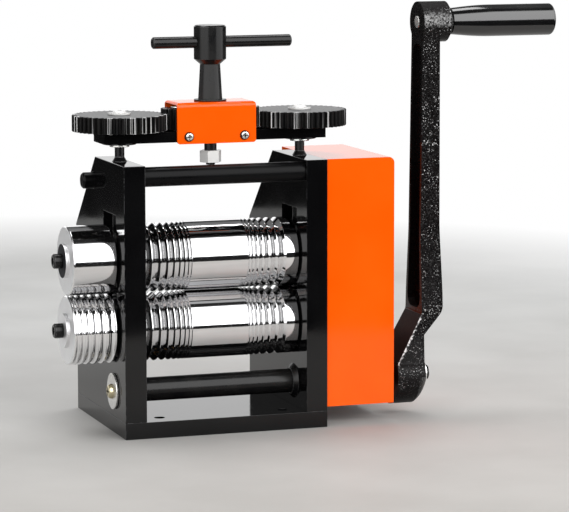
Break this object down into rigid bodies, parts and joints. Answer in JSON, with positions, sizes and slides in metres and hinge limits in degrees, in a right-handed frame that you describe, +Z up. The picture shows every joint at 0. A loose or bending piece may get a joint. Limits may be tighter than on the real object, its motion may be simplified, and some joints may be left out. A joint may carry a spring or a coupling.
{
  "type": "jewellers rolling mill",
  "caption": "Hand cranked bench rolling mill: two plain and wire-grooved rolls in a black frame, side rolls, geared twin-screw gap adjustment with T handle, orange gear covers.",
  "frame": {"origin": "centre of the base plate's underside, which is also the centre of the four bench bolt holes", "axes": "+Z up; +X along the rolls towards the gear cover and crank; +Y towards the back, so the rolls' feed side faces -Y"},
  "size_m": [0.3513, 0.122, 0.2817],
  "materials": {
    "frame_paint": "gloss black paint",
    "crank_paint": "gloss black paint over rough cast iron",
    "cover_paint": "gloss orange paint on bent sheet steel",
    "chrome": "mirror polished hardened steel",
    "bright_steel": "bright plated fasteners",
    "black_steel": "blackened steel, satin",
    "gear_steel": "machined gear steel, oiled",
    "dark_gear_steel": "sintered gear steel, dark satin",
    "bronze": "plain bearing bronze",
    "block_iron": "machined cast iron",
    "spring_steel": "spring steel wire",
    "grip_plastic": "smooth gloss black plastic"
  },
  "bodies": {
    "frame": {"base_plate": "frame_paint", "base_screws": "bright_steel", "left_side_plate": "frame_paint", "right_side_plate": "frame_paint", "front_tie_bar": "frame_paint", "rear_tie_rod": "frame_paint", "lower_left_block": "block_iron", "lower_right_block": "block_iron", "lower_bushes": "bronze", "lift_springs": "spring_steel", "left_drive_bush": "bronze", "right_drive_bush": "black_steel", "gear_cover": "cover_paint", "cover_pillars": "bright_steel", "cover_screws": "bright_steel"},
    "carriage": {"upper_left_block": "block_iron", "upper_right_block": "block_iron", "upper_bushes": "bronze"},
    "top_roll": {"upper_roll": "chrome", "upper_side_roll": "chrome", "upper_side_bolt": "black_steel", "upper_roll_gear": "gear_steel", "upper_gear_bolt": "black_steel"},
    "bottom_roll": {"lower_roll": "chrome", "lower_side_roll": "chrome", "lower_side_bolt": "black_steel", "lower_roll_gear": "gear_steel", "drive_wheel": "gear_steel", "lower_gear_bolt": "black_steel"},
    "crank": {"drive_shaft": "black_steel", "drive_pinion": "gear_steel", "shaft_end_washer": "bright_steel", "shaft_end_screw": "bright_steel", "crank_arm": "crank_paint", "crank_washer": "bright_steel", "crank_bolt": "black_steel", "grip_spindle": "bright_steel"},
    "grip": {"crank_grip": "grip_plastic"},
    "bridge": {"bridge_bar": "frame_paint", "bridge_discs": "frame_paint", "pinion_cover": "cover_paint", "pinion_cover_screws": "bright_steel", "idler_pins": "bright_steel"},
    "t_handle": {"t_handle_column": "black_steel", "t_handle_bar": "black_steel", "handle_washer": "black_steel", "handle_pinion": "dark_gear_steel", "handle_spacer": "black_steel", "handle_nut": "bright_steel"},
    "left_idler": {"left_idler_gear": "dark_gear_steel"},
    "right_idler": {"right_idler_gear": "dark_gear_steel"},
    "left_screw": {"left_adjusting_screw": "black_steel", "left_adjusting_gear": "dark_gear_steel", "left_gear_bolt": "bright_steel", "left_thrust_washer": "bright_steel"},
    "right_screw": {"right_adjusting_screw": "black_steel", "right_adjusting_gear": "dark_gear_steel", "right_gear_bolt": "bright_steel", "right_thrust_washer": "bright_steel"}
  },
  "joints": [
    {"name": "bridge_lift", "type": "slide", "parent": "frame", "child": "bridge", "axis": [0, 0, 1], "range_m": [0, 0.006]},
    {"name": "carriage_lift", "type": "slide", "parent": "frame", "child": "carriage", "axis": [0, 0, 1], "range_m": [0, 0.006], "deforming": ["lift_springs"]},
    {"name": "t_handle_turn", "type": "hinge", "parent": "bridge", "child": "t_handle", "pos_m": [0, -0.0255, 0.2575], "axis": [0, 0, 1], "range_deg": [0, 2880]},
    {"name": "left_idler_turn", "type": "hinge", "parent": "bridge", "child": "left_idler", "pos_m": [-0.02196, -0.0255, 0.207], "axis": [0, 0, 1], "range_deg": [-3050, 0]},
    {"name": "right_idler_turn", "type": "hinge", "parent": "bridge", "child": "right_idler", "pos_m": [0.02196, -0.0255, 0.207], "axis": [0, 0, 1], "range_deg": [-3050, 0]},
    {"name": "left_screw_turn", "type": "hinge", "parent": "bridge", "child": "left_screw", "pos_m": [-0.06275, -0.0255, 0.206], "axis": [0, 0, 1], "range_deg": [0, 1080]},
    {"name": "right_screw_turn", "type": "hinge", "parent": "bridge", "child": "right_screw", "pos_m": [0.06275, -0.0255, 0.206], "axis": [0, 0, 1], "range_deg": [0, 1080]},
    {"name": "top_roll_turn", "type": "hinge", "parent": "carriage", "child": "top_roll", "pos_m": [0, -0.0255, 0.1155], "axis": [1, 0, 0], "continuous": true},
    {"name": "bottom_roll_turn", "type": "hinge", "parent": "frame", "child": "bottom_roll", "pos_m": [0, -0.0255, 0.0692], "axis": [1, 0, 0], "continuous": true},
    {"name": "crank_turn", "type": "hinge", "parent": "frame", "child": "crank", "pos_m": [0.134, -0.033, 0.028], "axis": [1, 0, 0], "continuous": true},
    {"name": "grip_spin", "type": "hinge", "parent": "crank", "child": "grip", "pos_m": [0.205, -0.033, 0.268], "axis": [1, 0, 0], "continuous": true}
  ],
  "couplings": [
    {"joint": "bridge_lift", "follows": "t_handle_turn", "m_per_rad": 0.00011937},
    {"joint": "carriage_lift", "follows": "t_handle_turn", "m_per_rad": 0.00011937},
    {"joint": "left_idler_turn", "follows": "t_handle_turn", "ratio": -1.0588},
    {"joint": "right_idler_turn", "follows": "t_handle_turn", "ratio": -1.0588},
    {"joint": "left_screw_turn", "follows": "t_handle_turn", "ratio": 0.375},
    {"joint": "right_screw_turn", "follows": "t_handle_turn", "ratio": 0.375},
    {"joint": "bottom_roll_turn", "follows": "crank_turn", "ratio": -0.42857},
    {"joint": "top_roll_turn", "follows": "crank_turn", "ratio": 0.42857}
  ]
}
